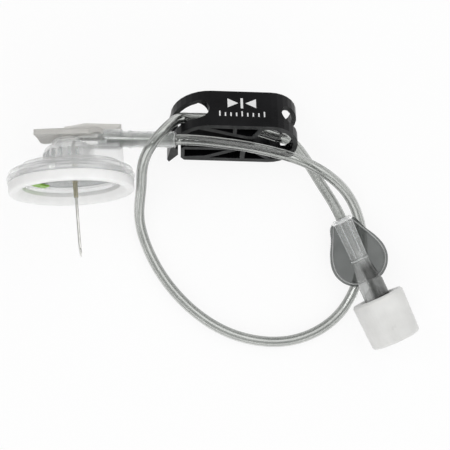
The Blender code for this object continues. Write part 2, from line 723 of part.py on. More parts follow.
def wing_outline():
    """Section of both wings across the tube's direction, with grip ridges on top of each.

    It runs a little past both ends, where the wings' plan trims it.
    """
    base = wing_base_height()
    spare = 1 * MM

    def height(span):
        if span < -WING_NEAR_ROOT:
            root, reach, rise = WING_NEAR_ROOT, WING_NEAR_REACH, WING_NEAR_RISE
        elif span > WING_FAR_ROOT:
            root, reach, rise = WING_FAR_ROOT, WING_FAR_REACH, WING_FAR_RISE
        else:
            return 0.0
        share = (abs(span) - root) / (reach - root)
        return rise * share ** 1.3

    def ridge(span):
        reach = WING_NEAR_REACH if span < 0 else WING_FAR_REACH
        inward = reach - 0.6 * MM - abs(span)
        if not 0 <= inward <= GRIP_RIDGES * GRIP_SPACING:
            return 0.0
        return GRIP_HEIGHT * math.sin(math.pi * inward / GRIP_SPACING) ** 2

    far_width = WING_FAR_REACH - WING_FAR_ROOT
    near_middle = -(WING_NEAR_ROOT + WING_NEAR_REACH) / 2
    lower = [-WING_NEAR_REACH - spare, near_middle, -WING_NEAR_ROOT, 0.0, WING_FAR_ROOT]
    lower += [WING_FAR_ROOT + far_width * share for share in (0.2, 0.4, 0.6, 0.8)]
    lower.append(WING_FAR_REACH + spare)
    outline = [(span, base + height(span)) for span in lower]
    spans = [WING_FAR_ROOT + 0.3 * far_width, WING_FAR_ROOT, -WING_NEAR_ROOT]
    count = 4 * GRIP_RIDGES
    for reach, side in ((WING_FAR_REACH, 1), (WING_NEAR_REACH, -1)):
        spans.append(side * (reach + spare))
        spans += [side * (reach - 0.6 * MM - GRIP_SPACING / 4 * step) for step in range(count + 1)]
    spans.sort(reverse=True)
    outline += [(span, base + height(span) + WING_THICKNESS + ridge(span)) for span in spans]
    return outline


def make_wings(parent, outlet):
    """Soft grip wings seated on the hub's flange, notched for the dome and the tube outlet."""
    wings = outline_solid("grip_wings", [wing_outline()], 4 * WING_FAR_REACH, collection=PARTS)
    stand = Matrix(((0, 0, 1, 0), (1, 0, 0, 0), (0, 1, 0, 0), (0, 0, 0, 1)))
    wings.data.transform(stand)
    twist = Matrix.Rotation(WING_TWIST, 4, "Z")
    wings.matrix_local = twist

    plan = []
    for x, y, first in ((WING_FAR_FRONT, WING_FAR_REACH, 0), (-WING_FAR_BACK, WING_FAR_REACH, 90),
                        (-WING_NEAR_BACK, -WING_NEAR_REACH, 180),
                        (WING_NEAR_FRONT, -WING_NEAR_REACH, 270)):
        centre = (x - math.copysign(WING_CORNER, x), y - math.copysign(WING_CORNER, y))
        plan += arc(centre, WING_CORNER, WING_CORNER, first, first + 90, 4)
        if first == 90:
            plan.append((-WING_MIDDLE_BACK, 0.0))
    trim = outline_solid("wing_plan", [plan], 14 * MM)
    trim.matrix_local = Matrix.Translation((0, 0, wing_base_height() + 2 * MM))
    combine(wings, trim, "INTERSECT")

    hole = cylinder("dome_hole", DOME_RADIUS + SEAT_GAP, TOWER_TOP - 1 * MM, DOME_TOP)
    combine(wings, hole, "DIFFERENCE")
    notch = cylinder("outlet_notch", OUTLET_RADIUS + SEAT_GAP, 1.2 * MM, OUTLET_LENGTH + 2 * MM)
    notch.matrix_local = twist.inverted() @ outlet
    combine(wings, notch, "DIFFERENCE")
    finish(wings, WING, parent)


def make_tube(head):
    """Extension tube: straight in its sleeve, one loop on the table, through the clamp."""
    outlet = head @ outlet_matrix()
    places = [outlet @ Vector((0, 0, TUBE_START))]
    places += [outlet @ Vector((0, 0, along))
               for along in (16 * MM, 22 * MM, SLEEVE_END, SLEEVE_END + 5.1 * MM)]
    origin = Vector((HEAD_X, HEAD_Y, 0))
    clamp = clamp_matrix()
    connector = connector_matrix()
    places += [origin + Vector(place) * MM for place in ROUTE_TO_CLAMP]
    places += [clamp @ (Vector(place) * MM) for place in ROUTE_IN_CLAMP]
    places += [origin + Vector(place) * MM for place in ROUTE_TO_CONNECTOR]
    places += [connector @ Vector((0, 0, along))
               for along in (-4.0 * MM, 0.0, 4.0 * MM, SOCKET_DEPTH - SEAT_GAP)]
    tube = rod("extension_tube", smooth_path(places, TUBE_POINTS), TUBE_DIAMETER / 2,
               collection=PARTS, as_mesh=False)
    finish(tube, SOFT_CLEAR)


def clamp_outline():
    """Side profile of the clamp, clockwise from the foot of its latch."""
    top = CLAMP_HEIGHT / 2
    end = CLAMP_LENGTH / 2
    lower_jaw = -CLAMP_JAW_GAP / 2 + 0.3 * MM
    upper_jaw = lower_jaw + CLAMP_JAW_GAP
    left_curve = (-end + 10.0 * MM, -2.5 * MM)
    left_rise = top - left_curve[1]
    right_curve = (end - 7.1 * MM, 0.0)
    wall = CLAMP_WALL
    outline = [(-end - 0.2 * MM, -top - 0.9 * MM), (-end - 0.7 * MM, -top - 0.1 * MM)]
    outline += arc(left_curve, 10.0 * MM, left_rise, 180, 90, 9)
    outline += arc(right_curve, 7.1 * MM, top, 90, -90, 14)
    outline += [(-end + 3.6 * MM, -top), (-end + 2.7 * MM, -top + 0.9 * MM)]
    outline += [(-end + 2.6 * MM, lower_jaw - 1.2 * MM), (-end + 3.3 * MM, lower_jaw - 0.4 * MM)]
    outline += [(-1.0 * MM, lower_jaw - 0.2 * MM), (1.4 * MM, lower_jaw)]
    outline += [(3.0 * MM, lower_jaw), (4.4 * MM, lower_jaw - 0.5 * MM)]
    outline += [(9.6 * MM, -top + wall + 0.2 * MM)]
    outline += arc(right_curve, 7.1 * MM - wall, top - wall, -75, 90, 10)
    outline += [(6.8 * MM, top - wall - 0.1 * MM), (5.2 * MM, upper_jaw + 0.4 * MM)]
    outline += [(4.2 * MM, upper_jaw), (2.6 * MM, upper_jaw), (-9.4 * MM, top - wall - 0.5 * MM)]
    outline += arc(left_curve, 10.0 * MM - wall, left_rise - wall, 115, 180, 6)
    outline += [(-end + 1.9 * MM, -2.9 * MM), (-end + 2.0 * MM, -4.9 * MM)]
    return outline


def clamp_pockets():
    """Recesses that leave the jaws' ribs and their middle web, as side profiles."""
    top = CLAMP_HEIGHT / 2
    under_face = top - CLAMP_WALL
    floor = -top + CLAMP_WALL
    return [
        [(-6.6 * MM, under_face), (-0.7 * MM, under_face), (-0.7 * MM, 3.9 * MM)],
        [(0.2 * MM, under_face), (5.6 * MM, under_face), (4.2 * MM, 3.0 * MM),
         (2.8 * MM, 3.0 * MM), (0.2 * MM, 3.7 * MM)],
        [(-12.5 * MM, -2.7 * MM), (-1.6 * MM, -2.5 * MM), (-7.3 * MM, -4.9 * MM),
         (-12.4 * MM, -5.4 * MM)],
        [(-6.1 * MM, floor), (1.7 * MM, -2.3 * MM), (1.7 * MM, floor)],
        [(2.9 * MM, -2.3 * MM), (3.9 * MM, -2.5 * MM), (8.4 * MM, floor), (2.9 * MM, floor)],
    ]


def clamp_matrix():
    """The clamp leans on its back edge, with its face and one side towards the camera above."""
    turn = (Matrix.Rotation(CLAMP_HEADING, 4, "Z") @ Matrix.Rotation(CLAMP_SLOPE, 4, "Y")
            @ Matrix.Rotation(CLAMP_LEAN, 4, "X"))
    depth = CLAMP_WIDTH / 2
    corners = [Vector((x, y, -depth)) for x, y in clamp_outline()]
    drop = -min((turn @ corner).z for corner in corners)
    x, y = CLAMP_PLACE
    return Matrix.Translation((HEAD_X + x, HEAD_Y + y, drop)) @ turn


def make_clamp():
    """One moulding: a face with end slots for the tube, a hinge end, jaws and a latch."""
    clamp = outline_solid("pinch_clamp", [clamp_outline()], CLAMP_WIDTH, collection=PARTS)
    for side in (-1, 1):
        pockets = outline_solid(f"jaw_pockets_{side}", clamp_pockets(), CLAMP_WIDTH)
        pockets.matrix_local = Matrix.Translation((0, 0, side * (CLAMP_WEB + CLAMP_WIDTH) / 2))
        combine(clamp, pockets, "DIFFERENCE")
    half = CLAMP_SLOT / 2
    wide = CLAMP_NOTCH / 2
    end = CLAMP_LENGTH / 2 + 2 * MM
    left = arc((-9.4 * MM, 0), half, wide, 90, -90, 10) + [(-end, -wide), (-end, wide)]
    right = [(end, half), (end, -half)] + arc((14.0 * MM, 0), half * 0.9, half, -90, -270, 10)
    slots = ((left, -1.3 * MM), (right, -CLAMP_HEIGHT / 2 + 0.9 * MM))
    for index, (outline, floor) in enumerate(slots):
        height = CLAMP_HEIGHT
        slot = outline_solid(f"end_slot_{index}", [outline], height)
        lift = Matrix.Translation((0, floor + height / 2, 0))
        slot.matrix_local = lift @ Matrix.Rotation(math.pi / 2, 4, "X")
        combine(clamp, slot, "DIFFERENCE")
    clamp.matrix_local = clamp_matrix()
    finish(clamp, BLACK)


def connector_matrix():
    """The connector lies with its cap's side on the table."""
    x, y = CONNECTOR_PLACE
    heading = Matrix.Rotation(CONNECTOR_HEADING, 4, "Z")
    lay = Matrix(((0, 0, 1, 0), (1, 0, 0, 0), (0, 1, 0, 0), (0, 0, 0, 1)))
    return Matrix.Translation((HEAD_X + x, HEAD_Y + y, CAP_RADIUS)) @ heading @ lay


def paddle_outline(inset):
    """Teardrop with its narrow end at the tube socket, as (side, along) points."""
    half = PADDLE_WIDTH / 2
    right = [(0.36, 0.02), (0.64, 0.24), (0.90, 0.45), (1.00, 0.63), (0.92, 0.79), (0.68, 0.92),
             (0.34, 0.99)]
    outline = [(share * half, along * PADDLE_LENGTH) for share, along in right]
    outline += [(-x, y) for x, y in reversed(outline)]
    middle = Vector((0, 0.62 * PADDLE_LENGTH))
    return [tuple(middle + (Vector(point) - middle) * (1 - inset / half)) for point in outline]


def make_connector(parent):
    """Winged luer connector: tube socket, waist, cone, luer barrel with lugs, and the paddle."""
    profile = [
        (0.0, BARREL_END),
        (BARREL_RADIUS - 0.2 * MM, BARREL_END),
        (BARREL_RADIUS, BARREL_END - 0.2 * MM),
        (LUG_RADIUS, BARREL_END - 0.4 * MM),
        (LUG_RADIUS, BARREL_END - LUG_LENGTH + 0.3 * MM),
        (BARREL_RADIUS, BARREL_END - LUG_LENGTH),
        (BARREL_RADIUS - 0.1 * MM, CONE_END + 0.4 * MM),
        (BARREL_RADIUS - 0.25 * MM, CONE_END),
        (WAIST_RADIUS, WAIST_PLACE + 0.5 * MM),
        (WAIST_RADIUS + 0.2 * MM, WAIST_PLACE + 0.3 * MM),
        (WAIST_RADIUS + 0.2 * MM, WAIST_PLACE - 0.3 * MM),
        (WAIST_RADIUS, WAIST_PLACE - 0.5 * MM),
        (SOCKET_RADIUS, 0.6 * MM),
        (SOCKET_RADIUS + 0.12 * MM, 0.4 * MM),
        (SOCKET_RADIUS, 0.0),
        (0.0, 0.0),
    ]
    body = turned("luer_connector", profile, segments=36)
    paddle = outline_solid("paddle_blade", [paddle_outline(0)], PADDLE_THICKNESS, smooth=True)
    flat = Matrix.Rotation(math.pi / 2, 4, "X")
    paddle.matrix_local = Matrix.Translation((0, -PADDLE_DROP + PADDLE_THICKNESS / 2, 0)) @ flat
    combine(body, paddle, "UNION")
    for index, side in enumerate((-1, 1)):
        recess = outline_solid(f"paddle_recess_{index}", [paddle_outline(PADDLE_RIM)],
                               2 * PADDLE_RECESS, smooth=True)
        face = -PADDLE_DROP + PADDLE_THICKNESS / 2 + side * PADDLE_THICKNESS / 2
        recess.matrix_local = Matrix.Translation((0, face, 0)) @ flat
        if side > 0:
            spare = cylinder("recess_spare", WAIST_RADIUS + 0.9 * MM, 0, CONE_END + 1 * MM, segments=36)
            combine(recess, spare, "DIFFERENCE")
        combine(body, recess, "DIFFERENCE")
    mouth = LUER_MOUTH_RADIUS
    root = mouth - LUER_TAPER * LUER_DEPTH
    luer_root = BARREL_END - LUER_DEPTH
    tube_bore = TUBE_DIAMETER / 2 + TUBE_FIT
    way = [
        (0.0, BARREL_END + 1 * MM),
        (mouth, BARREL_END + 1 * MM),
        (mouth, BARREL_END),
        (root, luer_root),
        (FLUID_RADIUS, luer_root - 1.4 * MM),
        (FLUID_RADIUS, SOCKET_DEPTH),
        (tube_bore, SOCKET_DEPTH),
        (tube_bore, -1 * MM),
        (0.0, -1 * MM),
    ]
    combine(body, turned("fluid_way", way, segments=28, collection=TOOLS), "DIFFERENCE")
    for side in (-1, 1):
        flat_cut = box(f"lug_flat_{side}",
                       (-5 * MM, BARREL_RADIUS, BARREL_END - LUG_LENGTH - 0.1 * MM),
                       (5 * MM, BARREL_RADIUS + 2 * MM, BARREL_END + 1 * MM))
        flat_cut.matrix_local = Matrix.Rotation(math.pi / 2 * (side + 1), 4, "Z")
        combine(body, flat_cut, "DIFFERENCE")
    finish(body, SMOKE, parent)


def make_cap(parent):
    """Luer cap: a thick drafted shell, open at the barrel, with a spigot in the luer's mouth."""
    end = CAP_START + CAP_LENGTH
    small = CAP_RADIUS - CAP_DRAFT
    inner = CAP_RADIUS - CAP_WALL - 0.35 * MM
    floor = BARREL_END + SEAT_GAP
    profile = [(0.0, end - 0.35 * MM), (small - 1.9 * MM, end - 0.35 * MM), (small - 1.6 * MM, end)]
    profile += arc((small - CAP_EDGE, end - CAP_EDGE), CAP_EDGE, CAP_EDGE, 90, 0, 5)
    profile += [(CAP_RADIUS, CAP_START + 0.5 * MM), (CAP_RADIUS - 0.35 * MM, CAP_START)]
    profile += [(inner + 0.4 * MM, CAP_START), (inner, CAP_START + 0.4 * MM), (inner, floor)]
    profile += [(SPIGOT_RADIUS, floor), (SPIGOT_RADIUS - 0.2 * MM, floor - SPIGOT_LENGTH + 0.3 * MM)]
    profile += [(SPIGOT_RADIUS - 0.5 * MM, floor - SPIGOT_LENGTH), (0.0, floor - SPIGOT_LENGTH)]
    finish(turned("luer_cap", profile, segments=48), WHITE, parent)


def build():
    place = head_matrix()
    outlet = outlet_matrix()
    head = frame("head_frame", place)
    make_foam_ring(head)
    make_base_shell(head, outlet)
    make_guard_plate(head)
    make_guard_clip(head)
    make_lock_tab(head)
    make_hub(head, outlet)
    make_needle(head)
    make_ferrule(head)
    make_wings(head, outlet)
    make_sleeve(head, outlet)
    make_tube(place)
    make_clamp()
    connector = frame("connector_frame", connector_matrix())
    make_connector(connector)
    make_cap(connector)
    bpy.context.view_layer.update()


build()
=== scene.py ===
"""Looks of the safety needle set: clear head, foam, hollow tube, black clamp, capped connector."""

import math

import bmesh
import bpy
from mathutils import Matrix, Vector


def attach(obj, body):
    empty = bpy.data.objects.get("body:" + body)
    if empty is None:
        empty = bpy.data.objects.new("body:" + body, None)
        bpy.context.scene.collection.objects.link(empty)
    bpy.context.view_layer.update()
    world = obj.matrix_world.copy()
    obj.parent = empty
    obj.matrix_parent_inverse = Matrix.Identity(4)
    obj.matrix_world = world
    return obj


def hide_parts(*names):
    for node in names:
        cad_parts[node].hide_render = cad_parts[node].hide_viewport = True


MM = 0.001

# Poses of the solids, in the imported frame
HEAD_PLACE = Vector((-0.00504, -0.001, 0.016469))
HEAD_TILT = math.radians(11)
HEAD_TURN = math.radians(3.3)
HEAD_ROLL = math.radians(-8)
OUTLET_HEIGHT = 14.0 * MM
OUTLET_DROOP = math.radians(5.9)
CLAMP_PLACE = Vector((0.03556, 0.01605, 0.009528))
CLAMP_HEADING = math.radians(-1.5)
CLAMP_SLOPE = math.radians(4)
CLAMP_LEAN = math.radians(52)
CONNECTOR_PLACE = Vector((0.06306, -0.00755, 0.00685))
CONNECTOR_HEADING = math.radians(-65.4)

# Extension tube: the bands are the sides, counted from the top, whose outer wall is painted shade
TUBE_RADIUS = 1.35 * MM
TUBE_BORE_RADIUS = 0.72 * MM
TUBE_SIDES = 36
TUBE_PAINTED_SHADE_SIDES = (1, 2, *range(5, 13), 15, 16, *range(23, 31))
TUBE_RINGS = 360
ROUTE_STEPS = 24
TUBE_ROUTE = [
    (0.00405, 0.01254, 0.01535), (0.00997, 0.01244, 0.01629), (0.01590, 0.01233, 0.01722),
    (0.02093, 0.01224, 0.01801), (0.02597, 0.01215, 0.01881), (0.03176, 0.01150, 0.01850),
    (0.03796, 0.01080, 0.01720), (0.04546, 0.00940, 0.01450), (0.05266, 0.00750, 0.01130),
    (0.05896, 0.00440, 0.00820), (0.06416, 0.00020, 0.00480), (0.06726, -0.00480, 0.00170),
    (0.06886, -0.01080, 0.00140), (0.06906, -0.01700, 0.00140), (0.06756, -0.02480, 0.00140),
    (0.06356, -0.03200, 0.00140), (0.05716, -0.03700, 0.00140), (0.04936, -0.03950, 0.00140),
    (0.04156, -0.03920, 0.00140), (0.03416, -0.03720, 0.00140), (0.02716, -0.03320, 0.00140),
    (0.02096, -0.02760, 0.00140), (0.01596, -0.02100, 0.00140), (0.01256, -0.01400, 0.00140),
    (0.01096, -0.00800, 0.00220), (0.01136, -0.00320, 0.00640), (0.01236, 0.00120, 0.01300),
    (0.01256, 0.00620, 0.01980), (0.01526, 0.01120, 0.02340), (0.01916, 0.01540, 0.02080),
    (0.02163, 0.01839, 0.01303), (0.02554, 0.01775, 0.01191), (0.02943, 0.01810, 0.01141),
    (0.03328, 0.01725, 0.01083), (0.03888, 0.01572, 0.00980), (0.04270, 0.01474, 0.00889),
    (0.04597, 0.01369, 0.00725), (0.04927, 0.01302, 0.00595), (0.05176, 0.01120, 0.00590),
    (0.05516, 0.00620, 0.00440), (0.05796, 0.00140, 0.00540), (0.06139, -0.00391, 0.00685),
    (0.06306, -0.00755, 0.00685), (0.06473, -0.01119, 0.00685), (0.06668, -0.01546, 0.00685),
]

# Foam ring, in the head's frame: its underside is (inset from the rim, height) in millimetres,
# its dish's edge (out of the opening, above the dish) in millimetres, and its waves (count round
# the ring, share, phase)
FOAM_RADIUS = 15.7 * MM
FOAM_OPENING = 12.3 * MM
FOAM_THICKNESS = 2.45 * MM
FOAM_TOP = FOAM_THICKNESS + 0.2 * MM
FOAM_DISH = 1.5 * MM
FOAM_LIP = 0.5 * MM
FOAM_LIP_ANGLES = (0.2, 0.6, 1.0, 1.3, 1.57)
FOAM_LIP_STRETCH = 1.2
FOAM_TOP_INSET = 0.05 * MM
FOAM_SIDE_HEIGHTS = (0.8, 0.6, 0.4)
FOAM_UNDERSIDE = [(1.2, 0.0), (1.75, 0.04), (2.1, 0.22), (2.6, 0.72)]
FOAM_DISH_EDGE = [(0.3, -0.2), (0.0, 0.15)]
FOAM_WAVES = [(7, 1.0, 0.0), (11, 0.7, 1.3)]
FOAM_WAVE = 0.04 * MM
FOAM_LIFT = 0.015 * MM
FOAM_SEGMENTS = 128

# Clear head, in millimetres in its own frame: (radius, height) of rings and of a rib's outline
DOME_RINGS = [(15.3, 5.3), (12.6, 6.8)]
DOME_RING_WIDTH = 0.5
DOME_RING_RISE = 0.12
TOWER_RIB = [(6.32, 8.2), (6.85, 8.2), (6.8, 10.0), (6.32, 10.45)]
TOWER_RIB_HALF_WIDTH = 0.35
TOWER_RIB_COUNT = 14
TOWER_RIB_START = 60
TOWER_RIB_SWEEP = 240

# Pale end rings, in millimetres along the sleeve's or the connector's axis:
# radius, place, width and rise
SLEEVE_WELD = (1.68, 27.1, 0.4, 0.08)
CONNECTOR_RINGS = [
    ("socket_weld", (2.0, 0.0, 1.05, 0.3)),
    ("socket_band", (2.5, 0.45, 0.5, 0.42)),
    ("waist_band", (2.2, 11.2, 0.4, 0.2)),
]

# Connector, in millimetres in its own frame: its paddle's outline is (side, along) shares of half
# its width and its length, and a socket rib's route is (radius, along)
PADDLE_WIDTH = 14.8
PADDLE_LENGTH = 17.9
PADDLE_TOP = -2.0
PADDLE_MIDDLE = 0.62
PADDLE_BEAD_INSET = 0.45
PADDLE_BEAD_RADIUS = 0.2
PADDLE_BEAD_RINGS = 90
PADDLE_SIDE = [(0.36, 0.02), (0.64, 0.24), (0.90, 0.45), (1.00, 0.63), (0.92, 0.79), (0.68, 0.92),
               (0.34, 0.99)]
SOCKET_RIB_ANGLES = (22, 66, 114, 158)
SOCKET_RIB_ROUTE = [(2.45, 0.9), (2.38, 3.4), (2.3, 6.2), (2.22, 9.0), (2.16, 10.6)]
SOCKET_RIB_RADIUS = 0.17
SOCKET_RIB_SIDES = 6
# Heights at which the paddle's colour gives way to the body's, and places along and across the
# axis at which the body's gives way to the barrel's, and the barrel's painted highlight side
# gives way to its painted shade side
BODY_FADE = (4.85 * MM, 5.3 * MM)
BARREL_FADE = (11.6 * MM, 14.0 * MM)
PAINTED_SHADE_SIDE_FADE = (-1.5 * MM, -0.2 * MM)

# Clamp's print, in millimetres on its face: (along, up) corners of each shape
PRINT_FACE = 6.8
PRINT_HALF_THICKNESS = 0.03
PRINT_SHIFT = 1.5
PINCH_SIGN = [
    [(-3.6, 0.3), (-3.6, 3.3), (-0.9, 1.8)],
    [(3.6, 3.3), (3.6, 0.3), (0.9, 1.8)],
    [(-0.3, 0.1), (-0.3, 3.5), (0.3, 3.5), (0.3, 0.1)],
]
TICK_COUNT = 9
TICK_START = -5.6
TICK_PITCH = 1.4
TICK_HALF_WIDTH = 0.17
TICK_FOOT = -2.6
TICK_TALL_TOP = -0.9
TICK_SHORT_TOP = -1.4
TICK_TALL_EVERY = 4

# Wings, in millimetres in the head's frame: the strips that the solid is cut into, where each
# wing starts to bend and how far along it goes, and how much it twists and drops
WING_WELD = 0.01
WING_CUT_SNAP = 0.001
WING_STRIP_LENGTH = 0.8
WING_STRIP_WIDTH = 0.35
WING_FAR_ROOT = 2.0
WING_FAR_SPAN = 10.1
WING_NEAR_ROOT = 5.0
WING_NEAR_SPAN = 6.1
WING_FRONT = 10.3
WING_BACK = -5.7
WING_LIFT = 0.15
WING_SAG = 0.10
WING_END_DROP = 0.9
WING_END_FROM = 1.5
WING_END_SPAN = 4.0
WING_CURVE = 1.2

# Materials: the middle range of a noise, which two colours or values are spread over
NOISE_LOW = 0.3
NOISE_HIGH = 0.7
FLOW_SCALE = 160.0
STREAK_SCALE = 900.0
PLASTIC_IOR = 1.49

# Camera
CAMERA_HEIGHT = 0.420
CAMERA_AIM = (HEAD_PLACE.x + 0.03832, HEAD_PLACE.y - 0.00799)
SENSOR_WIDTH = 36.0
FRAME_WIDTH = 0.1125
FRAME_DISTANCE = 0.404

# Floor and light: the shares of the white that the camera, reflections and clear plastic see, and
# each lamp's name, place, size and power
FLOOR_HALF = 1.5
FLOOR_DROP = 0.0001
FLOOR_SHADE = 0.92
FLOOR_GLOW = 0.87
WORLD_LIGHT = 0.36
WORLD_GLOSS = 0.25
WORLD_THROUGH = 0.25
LAMPS = [
    ("key_softbox", (0.42, 0.26, 0.55), (0.90, 0.90), 2.6),
    ("side_softbox", (-0.50, 0.15, 0.40), (0.70, 0.70), 0.4),
    ("strip_light", (-0.22, 0.12, 0.62), (0.06, 0.50), 0.6),
    ("front_softbox", (0.02, -0.55, 0.40), (0.90, 0.70), 2.4),
]


def head_matrix():
    """The needle head's frame: Z along its axis, from the foam's underside to the wings."""
    turn = (Matrix.Rotation(HEAD_TURN, 4, "Z")
            @ Matrix.Rotation(-math.pi / 2 - HEAD_TILT, 4, "X")
            @ Matrix.Rotation(HEAD_ROLL, 4, "Z"))
    return Matrix.Translation(HEAD_PLACE) @ turn


def outlet_matrix():
    """Frame of the hub's side outlet and of the sleeve on it, with Z along them."""
    return (head_matrix() @ Matrix.Translation((0, 0, OUTLET_HEIGHT))
            @ Matrix.Rotation(math.pi / 2 + OUTLET_DROOP, 4, "Y"))


def clamp_matrix():
    """The clamp's frame: X along it, Y out of its printed face and Z out of its ribbed side."""
    turn = (Matrix.Rotation(CLAMP_HEADING, 4, "Z") @ Matrix.Rotation(CLAMP_SLOPE, 4, "Y")
            @ Matrix.Rotation(CLAMP_LEAN, 4, "X"))
    return Matrix.Translation(CLAMP_PLACE) @ turn


def connector_matrix():
    """The connector's frame: Z along its axis, from the tube to the cap, and Y up."""
    lay = Matrix(((0, 0, 1, 0), (1, 0, 0, 0), (0, 1, 0, 0), (0, 0, 0, 1)))
    heading = Matrix.Rotation(CONNECTOR_HEADING, 4, "Z")
    return Matrix.Translation(CONNECTOR_PLACE) @ heading @ lay


def new_material(name):
    """A material with its node tree and its main shader."""
    material = bpy.data.materials.new(name)
    material.use_nodes = True
    tree = material.node_tree
    return material, tree, tree.nodes["Principled BSDF"]


def noise(tree, scale, detail=3.0, roughness=0.5, stretch=None, turn=0.0):
    """Noise in the piece's own coordinates, drawn out along its axes, turned about Z."""
    place = tree.nodes.new("ShaderNodeTexCoord")
    texture = tree.nodes.new("ShaderNodeTexNoise")
    texture.inputs["Scale"].default_value = scale
    texture.inputs["Detail"].default_value = detail
    texture.inputs["Roughness"].default_value = roughness
    if stretch is None:
        tree.links.new(place.outputs["Object"], texture.inputs["Vector"])
    else:
        mapping = tree.nodes.new("ShaderNodeMapping")
        mapping.vector_type = "TEXTURE"
        mapping.inputs["Rotation"].default_value = (0.0, 0.0, turn)
        mapping.inputs["Scale"].default_value = stretch
        tree.links.new(place.outputs["Object"], mapping.inputs["Vector"])
        tree.links.new(mapping.outputs["Vector"], texture.inputs["Vector"])
    return texture.outputs["Fac"]


def spread(tree, value, low, high, from_low=NOISE_LOW, from_high=NOISE_HIGH):
    """Maps the range from_low..from_high of a value to low..high."""
    node = tree.nodes.new("ShaderNodeMapRange")
    node.inputs["From Min"].default_value = from_low
    node.inputs["From Max"].default_value = from_high
    node.inputs["To Min"].default_value = low
    node.inputs["To Max"].default_value = high
    tree.links.new(value, node.inputs["Value"])
    return node.outputs["Result"]


def tint(tree, value, first, second):
    """A colour between two, by value."""
    ramp = tree.nodes.new("ShaderNodeValToRGB")
    ramp.color_ramp.elements[0].color = (*first, 1)
    ramp.color_ramp.elements[1].color = (*second, 1)
    ramp.color_ramp.elements[0].position = NOISE_LOW
    ramp.color_ramp.elements[1].position = NOISE_HIGH
    tree.links.new(value, ramp.inputs["Fac"])
    return ramp.outputs["Color"]


def arithmetic(tree, operation, first, second=None):
    """One sum on a value and, where one is given, a number or another value."""
    node = tree.nodes.new("ShaderNodeMath")
    node.operation = operation
    tree.links.new(first, node.inputs[0])
    if isinstance(second, float):
        node.inputs[1].default_value = second
    elif second is not None:
        tree.links.new(second, node.inputs[1])
    return node.outputs[0]


def reach(tree, vector, axis):
    """How far a vector goes along an axis."""
    node = tree.nodes.new("ShaderNodeVectorMath")
    node.operation = "DOT_PRODUCT"
    node.inputs[1].default_value = axis
    tree.links.new(vector, node.inputs[0])
    return node.outputs["Value"]


def blend(tree, share, first, second):
    """A mix of two colours of the tree, by share."""
    node = tree.nodes.new("ShaderNodeMix")
    node.data_type = "RGBA"
    tree.links.new(share, node.inputs["Factor"])
    tree.links.new(first, node.inputs["A"])
    tree.links.new(second, node.inputs["B"])
    return node.outputs["Result"]


def add_bump(tree, shader, height, depth, strength=0.6):
    """Gives the shader a relief of some depth."""
    bump = tree.nodes.new("ShaderNodeBump")
    bump.inputs["Distance"].default_value = depth
    bump.inputs["Strength"].default_value = strength
    tree.links.new(height, bump.inputs["Height"])
    tree.links.new(bump.outputs["Normal"], shader.inputs["Normal"])


def moulded(name, dark, light, rough, clear=0.0, grain=900.0, depth=0.02 * MM, gloss=0.5,
            scatter=0.0, streak=None, alpha=1.0):
    """Moulded plastic: flow marks in its colour and roughness, and a fine skin texture."""
    material, tree, shader = new_material(name)
    flow = noise(tree, STREAK_SCALE if streak else FLOW_SCALE, detail=4.0, stretch=streak)
    tree.links.new(tint(tree, flow, dark, light), shader.inputs["Base Color"])
    tree.links.new(spread(tree, flow, rough * 0.75, rough * 1.35), shader.inputs["Roughness"])
    add_bump(tree, shader, noise(tree, grain, detail=2.0), depth)
    shader.inputs["Transmission Weight"].default_value = clear
    shader.inputs["IOR"].default_value = PLASTIC_IOR
    shader.inputs["Specular IOR Level"].default_value = gloss
    shader.inputs["Alpha"].default_value = alpha
    if scatter:
        shader.inputs["Subsurface Weight"].default_value = scatter
        shader.inputs["Subsurface Radius"].default_value = (1.0, 1.0, 1.0)
        shader.inputs["Subsurface Scale"].default_value = 0.8 * MM
    return material


def foam_material():
    """Fine closed-cell foam: small pits and a soft, slightly uneven white."""
    material, tree, shader = new_material("foam")
    cells = tree.nodes.new("ShaderNodeTexVoronoi")
    cells.inputs["Scale"].default_value = 3600.0
    place = tree.nodes.new("ShaderNodeTexCoord")
    tree.links.new(place.outputs["Object"], cells.inputs["Vector"])
    tree.links.new(tint(tree, noise(tree, 400.0), (0.91, 0.91, 0.90), (0.97, 0.97, 0.96)),
                   shader.inputs["Base Color"])
    shader.inputs["Roughness"].default_value = 0.85
    shader.inputs["Subsurface Weight"].default_value = 0.4
    shader.inputs["Subsurface Scale"].default_value = 1.0 * MM
    shader.inputs["Subsurface Radius"].default_value = (1.0, 1.0, 1.0)
    add_bump(tree, shader, cells.outputs["Distance"], 0.12 * MM, 0.5)
    return material


def steel_material():
    """Drawn and ground needle steel, with fine lines along the tube."""
    material, tree, shader = new_material("steel")
    lines = noise(tree, 3000.0, detail=2.0, stretch=(1.0, 25.0, 1.0))
    tree.links.new(tint(tree, lines, (0.44, 0.44, 0.42), (0.66, 0.66, 0.64)),
                   shader.inputs["Base Color"])
    tree.links.new(spread(tree, lines, 0.12, 0.28), shader.inputs["Roughness"])
    shader.inputs["Metallic"].default_value = 1.0
    shader.inputs["Specular Tint"].default_value = (0.45, 0.45, 0.45, 1)
    add_bump(tree, shader, lines, 0.01 * MM, 0.4)
    return material


